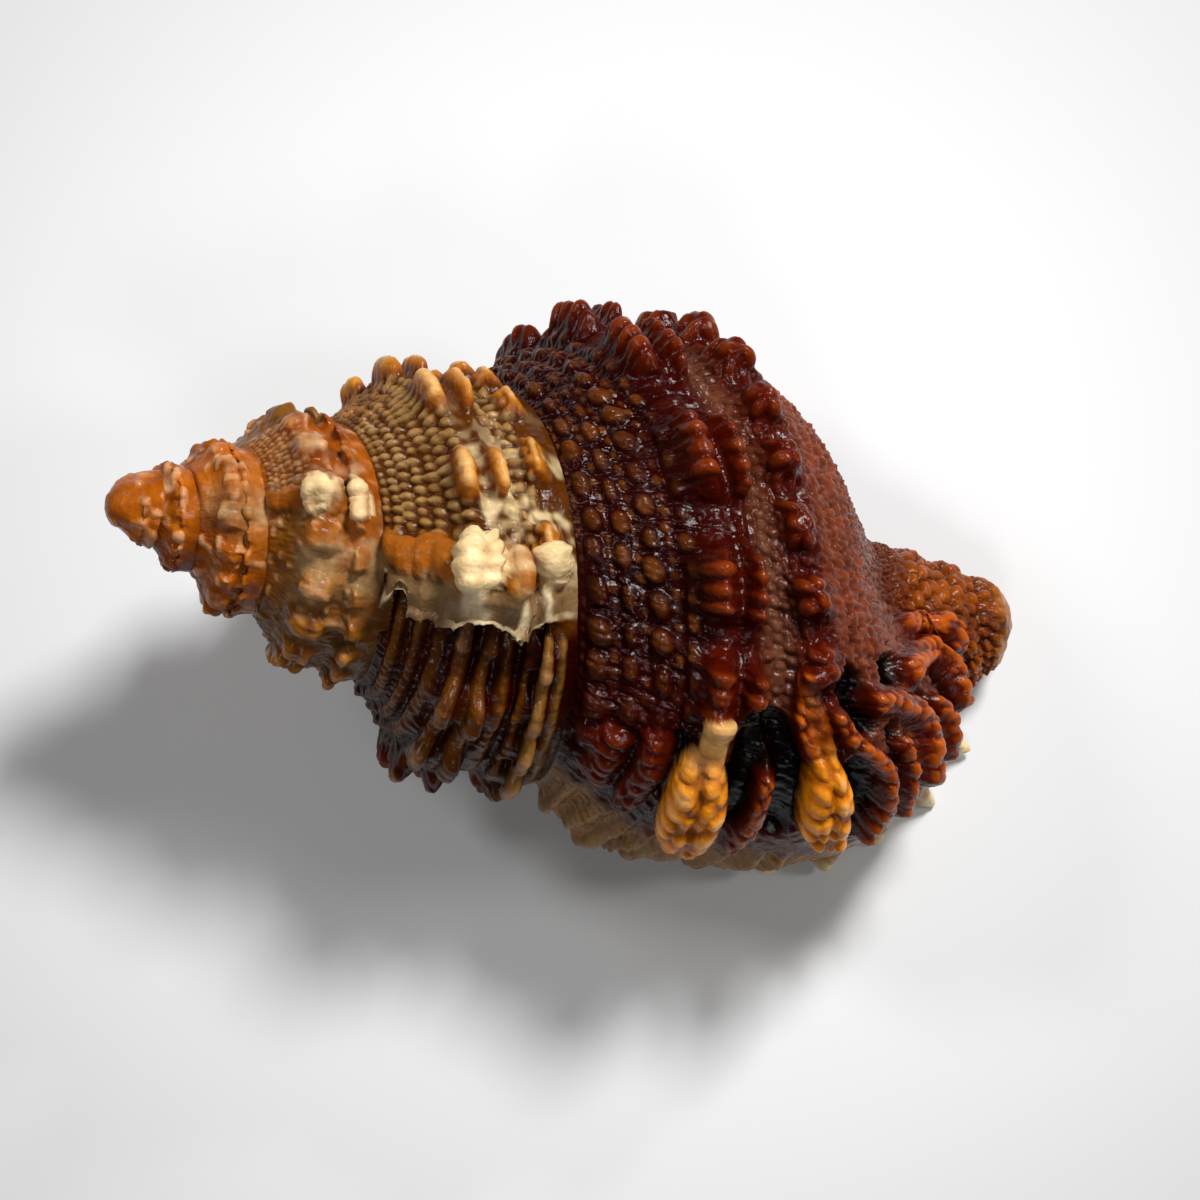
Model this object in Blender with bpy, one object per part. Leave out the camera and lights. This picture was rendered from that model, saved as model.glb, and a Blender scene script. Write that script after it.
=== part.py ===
"""Frog shell: one thick, knobbly right-handed sea shell, built as one closed faceted solid.

The shell is a tube of whorls wound round an axis. Every point of the outside is given by two numbers:
the turn (0 at the edge of the outer lip, -1 one turn earlier, and so on back to the apex) and the place
on the section of the whorl (0 at the suture above, 2 on the shoulder, 4 on the second knob row, where the
next whorl covers it, 9 where the canal starts, 12 at the canal's end). Lengths below are in millimetres.
"""
import bpy
import bmesh
import math
import numpy as np

MM = 0.001

# ---- overall form, millimetres and turns ----
LENGTH = 61.4                   # apex to the end of the canal
APEX_TOP = 0.35                 # the blunt tip stops this far from the point of the cone
FIRST_TURN = -5.25              # the first whorl starts here
SUTURE_Z = 30.3                 # suture at the lip, measured along the axis
SUTURE_R = 13.4
SUTURE_Z_GROWTH = 1.70          # times larger per turn
SUTURE_R_GROWTH = 1.56
SHOULDER_R = 22.1               # shoulder radius at the lip if its growth never slowed
SHOULDER_GROWTH = 1.60
SHOULDER_LIMIT = 16.9           # the last whorl stops widening here
CANAL_START_Z = 52.0
CANAL_BEND = 0.5
LIP_PHASE = math.radians(96.5)  # the lip's place round the axis, from +Z towards -Y
PITCH = math.radians(20.0)      # lying on its mouth side, the shell's apex points up by this much
WORN = 0.4                      # depth rubbed flat where it touches what it lies on

# ---- sculpture ----
# one (turn, count of knobs from the first one named) for each knob that stands out of an even row
SHOULDER_KNOBS = ((-1.49, 0), (-1.41, 1), (-1.31, 2), (-1.24, 3), (-0.495, 15), (-0.42, 16),
                  (-0.328, 17), (-0.247, 18), (-0.19, 19), (-0.118, 20))
SECOND_KNOBS = ((-1.40, 0), (-1.335, 1), (-1.26, 2), (-0.41, 21), (-0.25, 25), (-0.212, 26),
                (-0.176, 27), (-0.135, 28))
SHOULDER_EVEN = 16              # knobs per turn beyond those named
SECOND_EVEN = 22
SECOND_ROW = 3.9                # place of the second row on the last whorl
SPIRE_ROW_B = 3.45              # on the spire it shows just above the suture
KNOB_HEIGHT = 0.105             # of the shoulder radius
VARIX_TURNS = (-0.1375, -0.6875, -1.2375, -1.7625, -2.2875, -2.8, -3.3375)
VARIX_HEIGHT = 0.075
VARIX_WIDTH = 0.038
LIP_VARIX_HEIGHT = 1.4           # millimetres
LIP_KNOBS = ((-0.108, 1.84), (-0.130, 3.88))     # its two big knobs, each (turn, place)
LEDGE_TURN = VARIX_TURNS[2]     # the varix that still carries its thin old lip
FIRST_TOOTH = 4.4               # the lip's teeth and the varix cords repeat from this place on the section
LIP_SWING = math.radians(12.0)  # the lip's middle reaches round towards the mouth side

# ---- hollow ----
MOUTH_DEPTHS = (0.0, 0.012, 0.035, 0.07, 0.11, 0.16, 0.22, 0.29, 0.36)
CANAL_RETREAT = 0.30                 # share of the section that the hollow gives up towards its deep end
LIP_WALL = 2.3
INNER_WALL = 0.5

# ---- grid ----
COLUMNS = 80                    # per turn
FINE_FROM = -3.0                # the small whorls before this turn have half as many
SPIRE_ROWS = (0.0, 0.6, 1.2, 1.7, 2.0, 2.35, 2.9, 3.45, 4.0)
BASE_ROWS = (4.4, 4.9, 5.4, 5.9, 6.4, 6.9, 7.4, 7.9, 8.4, 8.9, 9.4, 10.0, 10.7, 11.4, 12.0)


def ease(x, low, high):
    t = np.clip((x - low) / (high - low), 0.0, 1.0)
    return t * t * (3.0 - 2.0 * t)


def hump(x, width):
    return np.exp(-(x / width) ** 2)


def suture(n):
    return SUTURE_Z * SUTURE_Z_GROWTH ** n, SUTURE_R * SUTURE_R_GROWTH ** n


def shoulder_radius(n):
    free = SHOULDER_R * SHOULDER_GROWTH ** n
    slowed = free / (1.0 + (free / SHOULDER_LIMIT) ** 6) ** (1.0 / 6.0)
    flat_side = 0.14 * hump(n + 0.68, 0.13) + 0.17 * hump(n + 1.64, 0.13) + 0.09 * hump(n + 2.02, 0.12)
    return slowed * (1.0 - flat_side)


def controls(n):
    """Section of the whorl at turn n: fourteen points (z, r) from the suture to the canal's tip."""
    z0, r0 = suture(n)
    ra = shoulder_radius(n)
    ramp = 0.34 + 0.20 * ease(n, -0.62, -0.25) + 0.12 * hump(n + 1.24, 0.17)
    za = z0 + ramp * ra - 0.9 * hump(n + 0.41, 0.06)
    below_z, below_r = suture(n + 1.0)
    own = ease(n, -1.0, -0.75)
    zb = below_z * (1.0 - own) + (z0 + (0.75 + 0.10 * ease(n, -0.5, -0.2)) * ra) * own
    rb = below_r * (1.0 - own) + (1.01 + 0.03 * hump(n + 0.45, 0.15)) * ra * own
    slim = 1.0 - 0.28 * (1.0 - ease(n, -1.0, -0.6))
    pts = [(z0, r0),
           (z0 + 0.42 * (za - z0), r0 + 0.44 * (ra - r0)),
           (za, ra),
           (0.5 * (za + zb), 0.5 * (0.96 * ra + rb)),
           (zb, rb)]
    for share, width in ((0.23, 0.93), (0.42, 0.80), (0.60, 0.60), (0.84, 0.34)):
        pts.append((zb + (CANAL_START_Z - zb) * share, width * ra * slim))
    pts += [(CANAL_START_Z, 4.6), (54.7, 4.3), (57.5, 3.6), (60.3, 2.5), (LENGTH, 0.0)]
    one = np.ones_like(n)
    z = np.stack([p[0] * one for p in pts], -1)
    r = np.stack([p[1] * one for p in pts], -1)
    lip_z = np.array([30.3, 33.0, 36.8, 41.2, 46.0, 50.0, 53.0, 55.6, 57.3, 58.2, 58.8, 59.6, 60.3, LENGTH])
    lip_r = np.array([13.4, 15.4, 16.6, 16.8, 16.6, 15.8, 14.2, 11.9, 8.9, 5.6, 4.0, 3.1, 2.5, 0.0])
    flare = ease(n, -0.30, -0.02)[..., None] * (np.arange(14) > 0)
    z = z * (1.0 - flare) + lip_z * flare
    r = r * (1.0 - flare) + lip_r * flare
    return z, r


def along(values, c):
    """Smooth curve through the section's points, read at places c."""
    last = values.shape[-1] - 1
    i = np.clip(np.floor(c).astype(int), 0, last - 1)
    t = c - i

    def at(k):
        return np.take_along_axis(values, np.clip(k, 0, last)[..., None], -1)[..., 0]
    a, b, d, e = at(i - 1), at(i), at(i + 1), at(i + 2)
    return b + 0.5 * t * (d - a + t * (2 * a - 5 * b + 4 * d - e + t * (3 * (b - d) + e - a)))


def knob_wave(n, knobs, even):
    """1 over the round top of each knob of a row and 0 between them."""
    turns, numbers = zip(*knobs)
    beyond = np.minimum(n - turns[0], 0.0) + np.maximum(n - turns[-1], 0.0)
    number = np.interp(n, turns, numbers) + even * beyond
    return ease(0.5 + 0.5 * np.cos(2.0 * math.pi * number), 0.05, 0.90)


def varix_line(turn, c):
    """The crest of a varix leans back where it comes down to the canal."""
    return turn - 0.11 * ease(c, 7.5, 10.5)


def lip_varix(n, c):
    """The swollen rib behind the lip: long lumps on both knob rows, cords with deep hollows between them."""
    away = n - varix_line(VARIX_TURNS[0], c)
    rib = hump(away, 0.040)
    cords = 0.5 + 0.5 * np.cos(2.0 * math.pi * (c - FIRST_TOOTH))
    base = 0.9 * ease(c, 4.4, 5.2) * cords + 0.25 * hump(c - 1.0, 0.4)
    lumps = 0.0
    for turn, at in LIP_KNOBS:
        lumps = np.maximum(lumps, 1.6 * hump(n - turn, 0.036) * hump(c - at, 0.44))
    return LIP_VARIX_HEIGHT * (0.45 * rib + np.maximum(lumps, rib * base)) * (1.0 - ease(c, 9.5, 11.0))


def sculpture(n, c):
    """Height of ridges and knobs over the plain whorl."""
    ra = shoulder_radius(n)
    own = ease(n, -0.97, -0.80)
    row_b = SPIRE_ROW_B + (SECOND_ROW - SPIRE_ROW_B) * own
    covered = ease(c, SPIRE_ROW_B, 4.0) * (1.0 - own)
    fade = ease(c, 0.0, 0.5) * (1.0 - ease(c, 10.8, 12.0)) * (1.0 - covered)
    knob = KNOB_HEIGHT * ra * (1.0 - ease(n, -0.10, -0.05))
    high = knob * (0.2 + 1.05 * knob_wave(n, SHOULDER_KNOBS, SHOULDER_EVEN)) * hump(c - 2.0, 0.42)
    high = high + knob * (0.2 + 0.85 * knob_wave(n, SECOND_KNOBS, SECOND_EVEN)) * hump(c - row_b, 0.38)
    ribs = 0.0
    for turn in VARIX_TURNS[1:]:
        away = n - varix_line(turn, c)
        rib = hump(away, VARIX_WIDTH) + 0.25 * hump(away, 2.0 * VARIX_WIDTH)
        rows = 0.75 + 0.6 * hump(c - 2.0, 0.5) + 0.6 * hump(c - row_b, 0.5)
        ribs = ribs + VARIX_HEIGHT * ra * rib * rows
    ribs = ribs + lip_varix(n, c)
    canal = 0.30 * np.cos(2.0 * math.pi * (c - 9.5)) * ease(c, 8.5, 9.5)
    edge = ease(n, -0.045, 0.0)
    tooth = np.maximum(0.0, np.cos(2.0 * math.pi * (c - FIRST_TOOTH))) * (1.0 - ease(c, 8.5, 9.5))
    teeth = edge * (0.35 + (0.8 + 1.0 * ease(c, 4.0, 5.4) + 0.6 * ease(c, 6.4, 7.4)) * tooth)
    return (high + ribs + canal + teeth) * fade


def ledge_fold(n, c):
    """The old lip: past its varix the surface runs on as a free plate, then turns back under it.

    Gives the shift round the axis in turns and the height over the whorl."""
    x = (n - LEDGE_TURN) * 360.0
    strength = ease(c, 0.15, 0.7) * (1.0 - ease(c, 2.6, 3.7))
    at = (-9.0, 0.0, 4.5, 9.0, 13.5, 18.0, 22.5, 31.5, 45.0)
    shift = np.interp(x, at, (0.0, 2.0, 8.0, 13.0, -7.0, -6.0, -3.0, 0.0, 0.0)) / 360.0
    lift = np.interp(x, at, (0.0, 1.1, 1.6, 1.2, -0.4, -1.2, -1.3, -0.9, 0.0))
    return shift * strength, lift * strength


def place(n, c, plain=False):
    """Point of the outside at turn n and section place c: (z, r, angle) in millimetres and radians."""
    n, c = np.broadcast_arrays(np.asarray(n, float), np.asarray(c, float))
    zs, rs = controls(n)
    z, r = along(zs, c), along(rs, c)
    swing = LIP_SWING * ease(n, -0.14, 0.0) * ease(c, 0.2, 2.5) * (1.0 - ease(c, 8.0, 11.5))
    angle = LIP_PHASE + 2.0 * math.pi * n + swing
    if plain:
        return z, r, angle
    step = 0.02
    dz = along(zs, np.minimum(c + step, 12.9)) - along(zs, np.maximum(c - step, 0.0))
    dr = along(rs, np.minimum(c + step, 12.9)) - along(rs, np.maximum(c - step, 0.0))
    size = np.hypot(dz, dr) + 1e-9
    high = sculpture(n, c)
    shift, lift = ledge_fold(n, c)
    high = high + lift
    lean = 0.6 + 0.4 * ease(c, 4.4, 6.0) * ease(n, -0.3, -0.1)
    turned = angle + 2.0 * math.pi * shift
    return z - high * lean * dr / size, r + high * (1.0 - lean + lean * dz / size), turned


def to_space(z, r, angle):
    """Lays the shell down: +X runs from the apex to the canal and the mouth faces the ground.

    The angle runs from +Z towards -Y. The canal bends a little away from the lip."""
    bend = CANAL_BEND * ease(z, 46.0, LENGTH)
    side = -r * np.sin(angle) + bend * math.sin(LIP_PHASE)
    up = r * np.cos(angle) - bend * math.cos(LIP_PHASE)
    return np.stack([z * math.cos(PITCH) + up * math.sin(PITCH), side,
                     up * math.cos(PITCH) - z * math.sin(PITCH)], -1)


def columns(first, last, per_turn=COLUMNS):
    return np.linspace(first, last, int(round((last - first) * per_turn)) + 1)


class Skin:
    """Collects points and faces of the closed surface; points that coincide are joined later."""

    def __init__(self):
        self.points = []
        self.faces = []

    def add(self, pts):
        start = len(self.points)
        self.points.extend(map(tuple, pts))
        return list(range(start, start + len(pts)))

    def strip(self, one, two):
        """Quads between two lines of the same length."""
        for a, b, c, d in zip(one, one[1:], two[1:], two):
            self.faces.append((a, b, c, d))

    def double_strip(self, one, two):
        """Joins a line to one with twice as many steps."""
        for k, (a, b) in enumerate(zip(one, one[1:])):
            left, middle, right = two[2 * k:2 * k + 3]
            self.faces.extend([(a, b, middle), (a, middle, left), (b, right, middle)])

    def fan(self, line, tip):
        for a, b in zip(line, line[1:]):
            self.faces.append((a, b, tip))


def build_outside(skin):
    def lines_of(turns, rows):
        return [skin.add(to_space(*place(turns, np.full_like(turns, c)))) for c in rows]

    def join(lines):
        for upper, lower in zip(lines, lines[1:]):
            skin.strip(upper, lower)
    join(lines_of(columns(FIRST_TURN, FINE_FROM - 1.0, COLUMNS // 2), SPIRE_ROWS))
    lines = lines_of(columns(FINE_FROM - 1.0, FINE_FROM, COLUMNS // 2), SPIRE_ROWS[:-1])
    join(lines)
    skin.double_strip(lines[-1], lines_of(columns(FINE_FROM - 1.0, FINE_FROM), SPIRE_ROWS[-1:])[0])
    join(lines_of(columns(FINE_FROM, -1.0), SPIRE_ROWS))
    lines = lines_of(columns(-1.0, 0.0), SPIRE_ROWS + BASE_ROWS)
    join(lines)
    tip = skin.add([to_space(LENGTH, 0.0, 0.0)])[0]
    skin.fan(lines[-1], tip)


def build_apex(skin):
    """Rounded cap over the first turn of the suture and the start of the first whorl."""
    turns = columns(FIRST_TURN, FIRST_TURN + 1.0, COLUMNS // 2)
    start = list(reversed(SPIRE_ROWS))
    n = np.concatenate([turns, np.full(len(start) - 1, FIRST_TURN)])
    c = np.concatenate([np.zeros_like(turns), start[1:]])
    z, r, angle = place(n, c)
    rings = [skin.add(to_space(z, r, angle))]
    for near_tip, narrow in ((0.45, 0.86), (0.12, 0.52)):
        rings.append(skin.add(to_space(APEX_TOP + (z - APEX_TOP) * near_tip, r * narrow, angle)))
    for one, two in zip(rings, rings[1:]):
        skin.strip(two, one)
    tip = skin.add([to_space(APEX_TOP, 0.0, 0.0)])[0]
    skin.fan(list(reversed(rings[-1])), tip)


def hollow_ring(depth, u_out, u_in):
    """Section of the hollow: outer line from the suture to the canal, then the inner line back."""
    n = -depth

    def walls(u):
        u = 0.09 + (0.74 - CANAL_RETREAT * depth / MOUTH_DEPTHS[-1]) * u
        outer = np.stack(place(np.full_like(u, n), 12.0 * u, plain=True), -1)
        inner = np.stack(place(np.full_like(u, n - 1.0), 4.0 + 8.0 * u, plain=True), -1)
        inner[:, 2] += 2.0 * math.pi
        return outer, inner, 0.5 * (outer + inner)

    def keep(u, outer, inner, wall):
        gap = np.hypot(outer[:, 0] - inner[:, 0], outer[:, 1] - inner[:, 1])
        round_end = np.sqrt(np.clip(1.0 - (2.0 * u - 1.0) ** 6, 0.0, 1.0))
        return (np.clip(1.0 - 2.0 * wall / gap, 0.05, 1.0) * round_end)[:, None]

    outer, inner, middle = walls(u_out)
    wall = LIP_WALL - 0.7 * min(1.0, depth / 0.1)
    far = middle + (outer - middle) * keep(u_out, outer, inner, wall)
    outer, inner, middle = walls(u_in)
    near = middle + (inner - middle) * keep(u_in, outer, inner, INNER_WALL + 2.0 * depth)
    ring = np.concatenate([far, near[::-1][1:]])
    centre = ring.mean(axis=0)
    shrink = 1.0 - 0.55 * depth / MOUTH_DEPTHS[-1]
    ring = centre + (ring - centre) * np.array([shrink, shrink, 1.0])
    return ring


def build_mouth(skin):
    """Flat rim between lip and inner lip, and the hollow that winds back into the last whorl."""
    rows = np.array(SPIRE_ROWS + BASE_ROWS)
    inner_rows = np.array((SPIRE_ROWS[-1],) + BASE_ROWS)
    outside = place(np.zeros_like(rows), rows)
    inside = place(np.full_like(inner_rows, -1.0), inner_rows)
    rim = np.concatenate([to_space(*outside), to_space(*inside)[::-1][1:]])
    rings = [skin.add(rim)]
    for depth in MOUTH_DEPTHS:
        ring = hollow_ring(depth, rows / 12.0, (inner_rows - 4.0) / 8.0)
        rings.append(skin.add(to_space(ring[:, 0], ring[:, 1], ring[:, 2])))
    for one, two in zip(rings, rings[1:]):
        skin.strip(two, one)
    end = np.mean([skin.points[k] for k in rings[-1][:-1]], axis=0)
    tip = skin.add([tuple(end)])[0]
    skin.fan(list(reversed(rings[-1])), tip)


def material():
    mat = bpy.data.materials.new("shell_brown")
    mat.use_nodes = True
    shader = mat.node_tree.nodes["Principled BSDF"]
    shader.inputs["Base Color"].default_value = (0.16, 0.05, 0.02, 1.0)
    shader.inputs["Roughness"].default_value = 0.3
    return mat


def main():
    for old in list(bpy.data.objects):
        bpy.data.objects.remove(old, do_unlink=True)
    skin = Skin()
    build_outside(skin)
    build_apex(skin)
    build_mouth(skin)
    points = np.array(skin.points)
    points[:, 2] -= points[:, 2].min() + WORN
    points[:, :2] -= 0.5 * (points[:, :2].min(axis=0) + points[:, :2].max(axis=0))
    mesh = bpy.data.meshes.new("shell")
    mesh.from_pydata([tuple(p) for p in points * MM], [], skin.faces)
    bm = bmesh.new()
    bm.from_mesh(mesh)
    bmesh.ops.remove_doubles(bm, verts=bm.verts, dist=2e-7)
    bmesh.ops.triangulate(bm, faces=bm.faces)
    everything = bm.verts[:] + bm.edges[:] + bm.faces[:]
    cut = bmesh.ops.bisect_plane(bm, geom=everything, plane_co=(0, 0, 0), plane_no=(0, 0, -1),
                                 clear_outer=True)
    rim = [e for e in cut["geom_cut"] if isinstance(e, bmesh.types.BMEdge)]
    bmesh.ops.holes_fill(bm, edges=rim)
    bmesh.ops.triangulate(bm, faces=bm.faces)
    bmesh.ops.recalc_face_normals(bm, faces=bm.faces)
    if bm.calc_volume(signed=True) < 0.0:
        bmesh.ops.reverse_faces(bm, faces=bm.faces)
    bm.to_mesh(mesh)
    bm.free()
    mesh.shade_smooth()
    mesh.set_sharp_from_angle(angle=math.radians(50.0))
    shell = bpy.data.objects.new("shell", mesh)
    bpy.context.scene.collection.objects.link(shell)
    shell.data.materials.append(material())


main()
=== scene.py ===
"""Frog shell lying on its mouth side: the fine surface, materials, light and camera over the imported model.

A point of the shell is given by the turn n (0 at the edge of the outer lip, -1 one turn earlier) and the
place c on the whorl's section (0 suture, 2 shoulder row of knobs, 4 second row, 9 canal, 13 its tip).
Lengths are in millimetres until the meshes are written.
"""
import bpy
import math
import numpy as np
from mathutils import Matrix, Vector


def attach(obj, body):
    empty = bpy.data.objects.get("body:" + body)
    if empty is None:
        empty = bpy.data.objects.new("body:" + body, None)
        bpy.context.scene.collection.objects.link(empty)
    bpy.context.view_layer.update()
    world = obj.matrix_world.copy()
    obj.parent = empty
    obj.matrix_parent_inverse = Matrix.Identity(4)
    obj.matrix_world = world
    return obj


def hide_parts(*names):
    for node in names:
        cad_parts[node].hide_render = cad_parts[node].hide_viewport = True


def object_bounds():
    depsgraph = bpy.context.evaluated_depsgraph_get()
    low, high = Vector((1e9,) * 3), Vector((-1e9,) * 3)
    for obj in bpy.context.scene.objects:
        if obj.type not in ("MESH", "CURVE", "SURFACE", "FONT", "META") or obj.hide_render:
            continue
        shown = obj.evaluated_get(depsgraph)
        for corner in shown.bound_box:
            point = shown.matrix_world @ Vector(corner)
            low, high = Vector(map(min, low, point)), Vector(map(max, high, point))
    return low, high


MM = 0.001

# ---- overall form, the same as the solid's ----
LENGTH = 61.4                   # the canal's end, along the axis
APEX_TOP = 0.35                 # the tip, along the axis
FIRST_TURN = -5.25
SUTURE_Z = 30.3                 # where the lip's edge meets the whorl before: along the axis
SUTURE_R = 13.4                 # and away from it
SUTURE_Z_GROWTH = 1.70          # per turn
SUTURE_R_GROWTH = 1.56
SHOULDER_R = 22.1               # radius of the shoulder at the lip if it grew on evenly
SHOULDER_GROWTH = 1.60
SHOULDER_LIMIT = 16.9           # the radius it levels off to
FLAT_SIDES = ((-0.68, 0.13, 0.14), (-1.64, 0.13, 0.17), (-2.02, 0.12, 0.09))    # turn, width, share taken off
# sides of the section below the second row: share of the way to the canal, share of the shoulder's radius
LOWER_SIDE = ((0.23, 0.93), (0.42, 0.80), (0.60, 0.60), (0.84, 0.34))
CANAL_START_Z = 52.0
CANAL_SECTION = ((CANAL_START_Z, 4.6), (54.7, 4.3), (57.5, 3.6), (60.3, 2.5), (LENGTH, 0.0))
CANAL_BEND = 0.5
# all fourteen points of the section at the flared edge of the lip
LIP_SECTION_Z = np.array([30.3, 33.0, 36.8, 41.2, 46.0, 50.0, 53.0,
                          55.6, 57.3, 58.2, 58.8, 59.6, 60.3, LENGTH])
LIP_SECTION_R = np.array([13.4, 15.4, 16.6, 16.8, 16.6, 15.8, 14.2,
                          11.9, 8.9, 5.6, 4.0, 3.1, 2.5, 0.0])
LIP_PHASE = math.radians(96.5)  # where the lip's edge stands round the axis
PITCH = math.radians(20.0)      # how steeply the axis lies
# one (turn, count of knobs from the first one named) for each knob that stands out of an even row
SHOULDER_KNOBS = ((-1.49, 0), (-1.41, 1), (-1.31, 2), (-1.24, 3), (-0.495, 15), (-0.42, 16),
                  (-0.328, 17), (-0.247, 18), (-0.19, 19), (-0.118, 20))
SECOND_KNOBS = ((-1.40, 0), (-1.335, 1), (-1.26, 2), (-0.41, 21), (-0.25, 25), (-0.212, 26),
                (-0.176, 27), (-0.135, 28))
SHOULDER_EVEN = 16              # knobs per turn beyond those named
SECOND_EVEN = 22
SECOND_ROW = 3.9                # place of the second row on the last whorl
SPIRE_ROW_B = 3.45              # on the spire it shows just above the suture
KNOB_HEIGHT = 0.105             # this and the varices' height are shares of the shoulder's radius
VARIX_TURNS = (-0.1375, -0.6875, -1.2375, -1.7625, -2.2875, -2.8, -3.3375)
VARIX_HEIGHT = 0.075
VARIX_WIDTH = 0.038
LIP_VARIX_HEIGHT = 1.4
LEDGE_TURN = VARIX_TURNS[2]     # the varix that still carries its thin old lip
# that lip's free plate: degrees past the varix, and there the shift along the whorl in degrees and the lift
LEDGE_DEGREES = (-9.0, 0.0, 4.5, 9.0, 13.5, 18.0, 22.5, 31.5, 45.0)
LEDGE_SHIFT = (0.0, 2.0, 8.0, 13.0, -7.0, -6.0, -3.0, 0.0, 0.0)
LEDGE_LIFT = (0.0, 1.1, 1.6, 1.2, -0.4, -1.2, -1.3, -0.9, 0.0)
FIRST_TOOTH = 4.4               # the lip has a tooth at this place and at each whole step on
LIP_SWING = math.radians(12.0)  # the lip's middle reaches round towards the mouth side
MOUTH_DEPTH = 0.36              # turns that the hollow winds back
CANAL_RETREAT = 0.30            # share of the section that it draws back from the canal by its deep end
LIP_WALL = 2.3
INNER_WALL = 0.5
SOLID_AT = np.array([-29.023, 0.314, 23.651])    # moved this far, it lies centred on the floor

# ---- fine grid ----
# lines run along the whorls and columns across them, counted per turn
BODY_COLUMNS = 800
RAMP_LINES = 118
BASE_LINES = 118
WHORL_COLUMNS = 600
WHORL_LINES = 93
SPIRE_COLUMNS = 400
SPIRE_LINES = 47
APEX_LINES = 26
TUCKED = 4.15                   # the older whorls' skin runs on to here, under the next whorl
SPLIT = 4.45                    # the last whorl is two pieces that meet along this place
SECTION_END = 12.999


def unit(x):
    return np.clip(x, 0.0, 1.0)


def ease(x, low, high):
    """0 up to low, 1 from high on, a smooth step between."""
    t = unit((x - low) / (high - low))
    return t * t * (3.0 - 2.0 * t)


def fade(x, low, high):
    """1 up to low, 0 from high on, a smooth step between."""
    return 1.0 - ease(x, low, high)


def hump(x, width):
    """1 at 0, falling to nearly 0 at twice the width."""
    return np.exp(-(x / width) ** 2)


def suture(n):
    """The suture's (z, r) at turn n."""
    return SUTURE_Z * SUTURE_Z_GROWTH ** n, SUTURE_R * SUTURE_R_GROWTH ** n


def shoulder_radius(n):
    """The shoulder row's distance from the axis at turn n."""
    free = SHOULDER_R * SHOULDER_GROWTH ** n
    slowed = free / (1.0 + (free / SHOULDER_LIMIT) ** 6) ** (1.0 / 6.0)
    return slowed * (1.0 - sum(share * hump(n - turn, width) for turn, width, share in FLAT_SIDES))


def controls(n):
    """Section of the whorl at turn n: fourteen points (z, r) from the suture to the canal's tip."""
    z0, r0 = suture(n)
    ra = shoulder_radius(n)
    ramp = 0.34 + 0.20 * ease(n, -0.62, -0.25) + 0.12 * hump(n + 1.24, 0.17)
    za = z0 + ramp * ra - 0.9 * hump(n + 0.41, 0.06)
    below_z, below_r = suture(n + 1.0)
    own = ease(n, -1.0, -0.75)
    zb = below_z * (1.0 - own) + (z0 + (0.75 + 0.10 * ease(n, -0.5, -0.2)) * ra) * own
    rb = below_r * (1.0 - own) + (1.01 + 0.03 * hump(n + 0.45, 0.15)) * ra * own
    slim = 1.0 - 0.28 * fade(n, -1.0, -0.6)
    pts = [(z0, r0),
           (z0 + 0.42 * (za - z0), r0 + 0.44 * (ra - r0)),
           (za, ra),
           (0.5 * (za + zb), 0.5 * (0.96 * ra + rb)),
           (zb, rb)]
    for share, width in LOWER_SIDE:
        pts.append((zb + (CANAL_START_Z - zb) * share, width * ra * slim))
    pts += CANAL_SECTION
    one = np.ones_like(n)
    z = np.stack([p[0] * one for p in pts], -1)
    r = np.stack([p[1] * one for p in pts], -1)
    flare = ease(n, -0.30, -0.02)[..., None] * (np.arange(14) > 0)
    z = z * (1.0 - flare) + LIP_SECTION_Z * flare
    r = r * (1.0 - flare) + LIP_SECTION_R * flare
    return z, r


def along(values, c):
    """Smooth curve through the section's points, read at places c."""
    last = values.shape[-1] - 1
    i = np.clip(np.floor(c).astype(int), 0, last - 1)
    t = c - i

    def at(k):
        return np.take_along_axis(values, np.clip(k, 0, last)[..., None], -1)[..., 0]
    a, b, d, e = at(i - 1), at(i), at(i + 1), at(i + 2)
    return b + 0.5 * t * (d - a + t * (2 * a - 5 * b + 4 * d - e + t * (3 * (b - d) + e - a)))


def knob_wave(n, knobs, even):
    """1 over the round top of each knob of a row and 0 between them."""
    turns, numbers = zip(*knobs)
    beyond = np.minimum(n - turns[0], 0.0) + np.maximum(n - turns[-1], 0.0)
    number = np.interp(n, turns, numbers) + even * beyond
    return ease(0.5 + 0.5 * np.cos(2.0 * math.pi * number), 0.05, 0.90)


def varix_line(turn, c):
    """A varix's turn at place c: it runs back towards the canal."""
    return turn - 0.11 * ease(c, 7.5, 10.5)


def lip_varix(n, c):
    """The low swelling that the lip varix's own knobs, ridges and hollows sit on."""
    away = n - varix_line(VARIX_TURNS[0], c)
    return LIP_VARIX_HEIGHT * 0.55 * hump(away, 0.045) * fade(c, 9.5, 11.0)


def tooth_wave(c):
    """1 on each tooth of the lip and 0 between them."""
    return np.maximum(0.0, np.cos(2.0 * math.pi * (c - FIRST_TOOTH))) * fade(c, 8.5, 9.5)


def row_b(n):
    """The second row's place at turn n."""
    return SPIRE_ROW_B + (SECOND_ROW - SPIRE_ROW_B) * ease(n, -0.97, -0.80)


def open_part(n, c):
    """1 on the free surface and 0 where the next whorl covers it or the section ends."""
    covered = ease(c, SPIRE_ROW_B, 4.0) * fade(n, -0.97, -0.80)
    return ease(c, 0.0, 0.5) * fade(c, 10.8, 12.0) * (1.0 - covered)


def twin_rows(c):
    """The two cords of the shoulder row, side by side."""
    return np.maximum(hump(c - 1.84, 0.25), 0.90 * hump(c - 2.40, 0.23))


def fingers(c):
    """The same row on the spire, where each knob is two narrow ridges side by side."""
    return np.maximum(hump(c - 1.78, 0.24), 0.88 * hump(c - 2.32, 0.21))


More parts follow.
